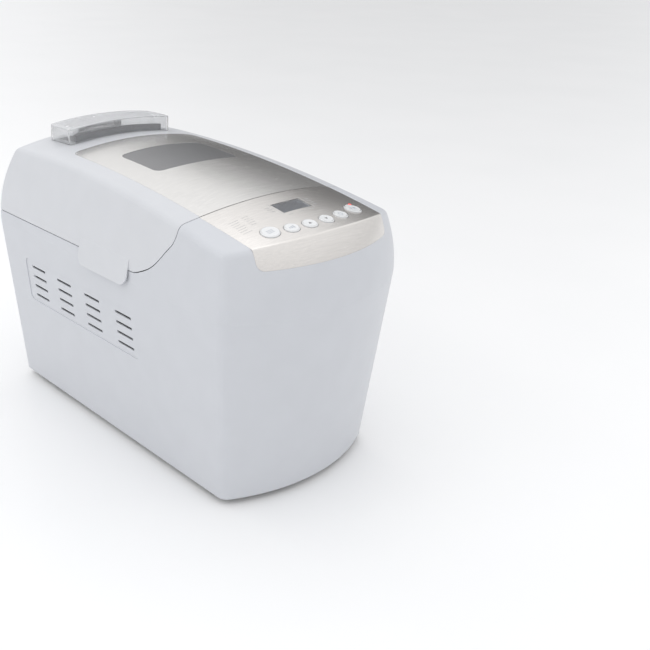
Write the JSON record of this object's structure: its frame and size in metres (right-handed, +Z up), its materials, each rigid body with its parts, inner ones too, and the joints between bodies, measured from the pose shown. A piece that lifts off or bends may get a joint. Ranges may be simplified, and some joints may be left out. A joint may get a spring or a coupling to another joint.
{
  "type": "bread machine",
  "caption": "Free-standing bread machine with a curved hinged lid, steel control fascia, clear vent cover, oven cavity, lift-out pan and twin belt-driven kneading paddles.",
  "frame": {"origin": "on the surface the machine stands on, under the middle of its bounding box", "axes": "+Z up, front with the control panel faces -Y, +Y to the rear hinge, +X to the right seen from the front"},
  "size_m": [0.2528, 0.458, 0.3279],
  "materials": {
    "white_plastic": "cool soft white, fine satin grain",
    "grey_plastic": "dark grey moulded plastic",
    "tan_plastic": "natural bearing plastic",
    "panel_steel": "brushed stainless steel",
    "oven_steel": "bright coated steel sheet",
    "heater_steel": "dark oxidised heater sheath",
    "zinc_steel": "zinc plated steel",
    "pan_aluminium": "satin aluminium",
    "cast_aluminium": "rough die-cast aluminium",
    "paddle_coating": "dark non-stick coating",
    "wire_steel": "bright drawn wire",
    "smoked_glass": "grey tinted glass",
    "clear_glass": "clear heat-resistant glass",
    "clear_plastic": "clear moulded plastic",
    "rubber": "soft black rubber",
    "silicone": "grey silicone",
    "button_plastic": "white glossy plastic",
    "circuit_board": "green solder mask",
    "display": "blue-grey display",
    "led_red": "red diffusing lens",
    "motor_steel": "zinc grey motor can"
  },
  "bodies": {
    "body": {"lower_housing": "white_plastic", "base_plate": "zinc_steel", "rubber_feet": "rubber", "base_screws": "zinc_steel", "cord_gland": "grey_plastic", "upper_bezel": "white_plastic", "control_fascia": "panel_steel", "hinge_pins": "zinc_steel", "oven_cavity": "oven_steel", "heating_element": "heater_steel", "heater_clips": "zinc_steel", "temperature_probe": "oven_steel", "heat_shield": "zinc_steel", "pan_seats": "zinc_steel", "drive_frame": "cast_aluminium", "shaft_bushes": "tan_plastic", "motor_belt": "rubber", "sync_belt": "rubber", "motor": "motor_steel", "motor_bracket": "zinc_steel", "key_switches": "grey_plastic", "control_board": "circuit_board", "board_standoffs": "zinc_steel", "lcd_window": "clear_plastic", "lcd_module": "display", "power_led": "led_red", "buzzer": "grey_plastic", "power_board": "circuit_board"},
    "lid": {"lid_shell": "white_plastic", "lid_panel": "panel_steel", "window_glass": "smoked_glass", "inner_window": "clear_glass", "lid_liner": "oven_steel", "lid_gasket": "silicone", "cover_pin": "zinc_steel"},
    "clear_cover": {"vent_cover": "clear_plastic"},
    "motor_rotor": {"motor_shaft": "zinc_steel", "motor_pulley": "cast_aluminium"},
    "front_drive": {"drive_shaft_front": "zinc_steel", "drive_dog_front": "cast_aluminium", "large_pulley": "grey_plastic", "sync_pulley_front": "grey_plastic"},
    "rear_drive": {"drive_shaft_rear": "zinc_steel", "drive_dog_rear": "cast_aluminium", "sync_pulley_rear": "grey_plastic"},
    "pan": {"bread_pan": "pan_aluminium", "pan_base": "cast_aluminium", "pan_seals": "silicone", "bail_ears": "pan_aluminium"},
    "pan_bail": {"bail": "wire_steel"},
    "front_kneader": {"pan_shaft_front": "zinc_steel", "paddle_front": "paddle_coating"},
    "rear_kneader": {"pan_shaft_rear": "zinc_steel", "paddle_rear": "paddle_coating"},
    "key_1": {"button_1": "button_plastic"},
    "key_2": {"button_2": "button_plastic"},
    "key_3": {"button_3": "button_plastic"},
    "key_4": {"button_4": "button_plastic"},
    "key_5": {"button_5": "button_plastic"},
    "key_6": {"button_6": "button_plastic"}
  },
  "joints": [
    {"name": "lid_hinge", "type": "hinge", "parent": "body", "child": "lid", "pos_m": [0, 0.2236, 0.215], "axis": [-1, 0, 0], "range_deg": [0, 78]},
    {"name": "clear_cover_hinge", "type": "hinge", "parent": "lid", "child": "clear_cover", "pos_m": [0, 0.1806, 0.312], "axis": [-1, 0, 0], "range_deg": [0, 100]},
    {"name": "front_drive_spin", "type": "hinge", "parent": "body", "child": "front_drive", "pos_m": [0, -0.018, 0.03], "axis": [0, 0, 1], "continuous": true},
    {"name": "rear_drive_spin", "type": "hinge", "parent": "body", "child": "rear_drive", "pos_m": [0, 0.098, 0.03], "axis": [0, 0, 1], "continuous": true},
    {"name": "motor_spin", "type": "hinge", "parent": "body", "child": "motor_rotor", "pos_m": [0, -0.142, 0.03], "axis": [0, 0, 1], "continuous": true},
    {"name": "pan_lift", "type": "slide", "parent": "body", "child": "pan", "axis": [0, 0, 1], "range_m": [0, 0.012]},
    {"name": "bail_swing", "type": "hinge", "parent": "pan", "child": "pan_bail", "pos_m": [0, 0.04, 0.221], "axis": [0, -1, 0], "range_deg": [0, 40]},
    {"name": "front_kneader_spin", "type": "hinge", "parent": "pan", "child": "front_kneader", "pos_m": [0, -0.018, 0.09], "axis": [0, 0, 1], "continuous": true},
    {"name": "rear_kneader_spin", "type": "hinge", "parent": "pan", "child": "rear_kneader", "pos_m": [0, 0.098, 0.09], "axis": [0, 0, 1], "continuous": true},
    {"name": "button_1_press", "type": "slide", "parent": "body", "child": "key_1", "axis": [0.12, 0.1647, -0.979], "range_m": [0, 0.0008], "stiffness_N_per_m": 500},
    {"name": "button_2_press", "type": "slide", "parent": "body", "child": "key_2", "axis": [0.0735, 0.1686, -0.9829], "range_m": [0, 0.0008], "stiffness_N_per_m": 500},
    {"name": "button_3_press", "type": "slide", "parent": "body", "child": "key_3", "axis": [0.0281, 0.1704, -0.985], "range_m": [0, 0.0008], "stiffness_N_per_m": 500},
    {"name": "button_4_press", "type": "slide", "parent": "body", "child": "key_4", "axis": [-0.0203, 0.1704, -0.9852], "range_m": [0, 0.0008], "stiffness_N_per_m": 500},
    {"name": "button_5_press", "type": "slide", "parent": "body", "child": "key_5", "axis": [-0.0695, 0.1684, -0.9833], "range_m": [0, 0.0008], "stiffness_N_per_m": 500},
    {"name": "button_6_press", "type": "slide", "parent": "body", "child": "key_6", "axis": [-0.1266, 0.1631, -0.9785], "range_m": [0, 0.0008], "stiffness_N_per_m": 500}
  ],
  "couplings": [
    {"joint": "rear_drive_spin", "follows": "front_drive_spin", "ratio": 1},
    {"joint": "motor_spin", "follows": "front_drive_spin", "ratio": 5},
    {"joint": "front_kneader_spin", "follows": "front_drive_spin", "ratio": 1},
    {"joint": "rear_kneader_spin", "follows": "front_drive_spin", "ratio": 1}
  ]
}
